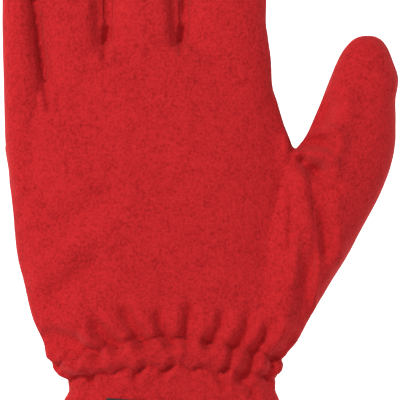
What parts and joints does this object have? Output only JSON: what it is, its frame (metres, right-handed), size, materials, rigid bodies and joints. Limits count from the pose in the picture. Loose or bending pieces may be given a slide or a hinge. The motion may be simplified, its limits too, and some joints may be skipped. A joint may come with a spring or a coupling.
{
  "type": "convertible flip-top mitten",
  "caption": "Fleece glove with open-ended finger stalls, a closed thumb, an elasticated wrist and a mitten hood that flips from the back of the hand over the fingertips.",
  "frame": {"origin": "on the floor plane of the cuff hem, under the middle of the whole mitten's outline", "axes": "+Z from the cuff to the fingertips, -Y out of the palm, +Y out of the back of the hand, +X towards the thumb"},
  "size_m": [0.1515, 0.0546, 0.2173],
  "materials": {
    "fleece": "brushed knitted fleece, soft nap",
    "binding_tape": "flat stretch knit tape",
    "elastic": "ribbed woven elastic",
    "thread": "twisted polyester thread",
    "woven_label": "plain satin weave, blank",
    "dark_thread": "twisted polyester thread",
    "loop_tape": "soft looped pile",
    "hook_tape": "fine rows of moulded hooks"
  },
  "bodies": {
    "glove": {"palm_panel": "fleece", "back_panel": "fleece", "fourchette_little_ring": "fleece", "fourchette_ring_middle": "fleece", "fourchette_middle_index": "fleece", "thumb_front_panel": "fleece", "thumb_back_panel": "fleece", "little_stall_binding": "binding_tape", "ring_stall_binding": "binding_tape", "middle_stall_binding": "binding_tape", "index_stall_binding": "binding_tape", "cuff_hem_binding": "binding_tape", "wrist_elastic": "elastic", "elastic_stitching": "thread", "cuff_label": "woven_label", "cuff_label_stitching": "dark_thread", "knuckle_seam_strip": "fleece", "loop_patch": "loop_tape", "loop_patch_stitching": "thread"},
    "hood": {"hood_back_panel": "fleece", "hook_patch": "hook_tape", "hook_patch_stitching": "dark_thread"},
    "hood_palm": {"hood_palm_panel": "fleece", "hood_hem_binding": "binding_tape"}
  },
  "joints": [
    {"name": "hood_flip", "type": "hinge", "parent": "glove", "child": "hood", "pos_m": [-0.0241, 0.00685, 0.15], "axis": [0.9976, 0, 0.0698], "range_deg": [0, 180], "deforming": ["hood_palm_panel", "hood_hem_binding"]},
    {"name": "hood_pocket", "type": "hinge", "parent": "hood", "child": "hood_palm", "pos_m": [-0.00983, 0.01395, 0.0485], "axis": [-0.9903, 0, -0.1392], "range_deg": [0, 12.3]}
  ],
  "couplings": [
    {"joint": "hood_pocket", "follows": "hood_flip", "ratio": 0.068333}
  ]
}
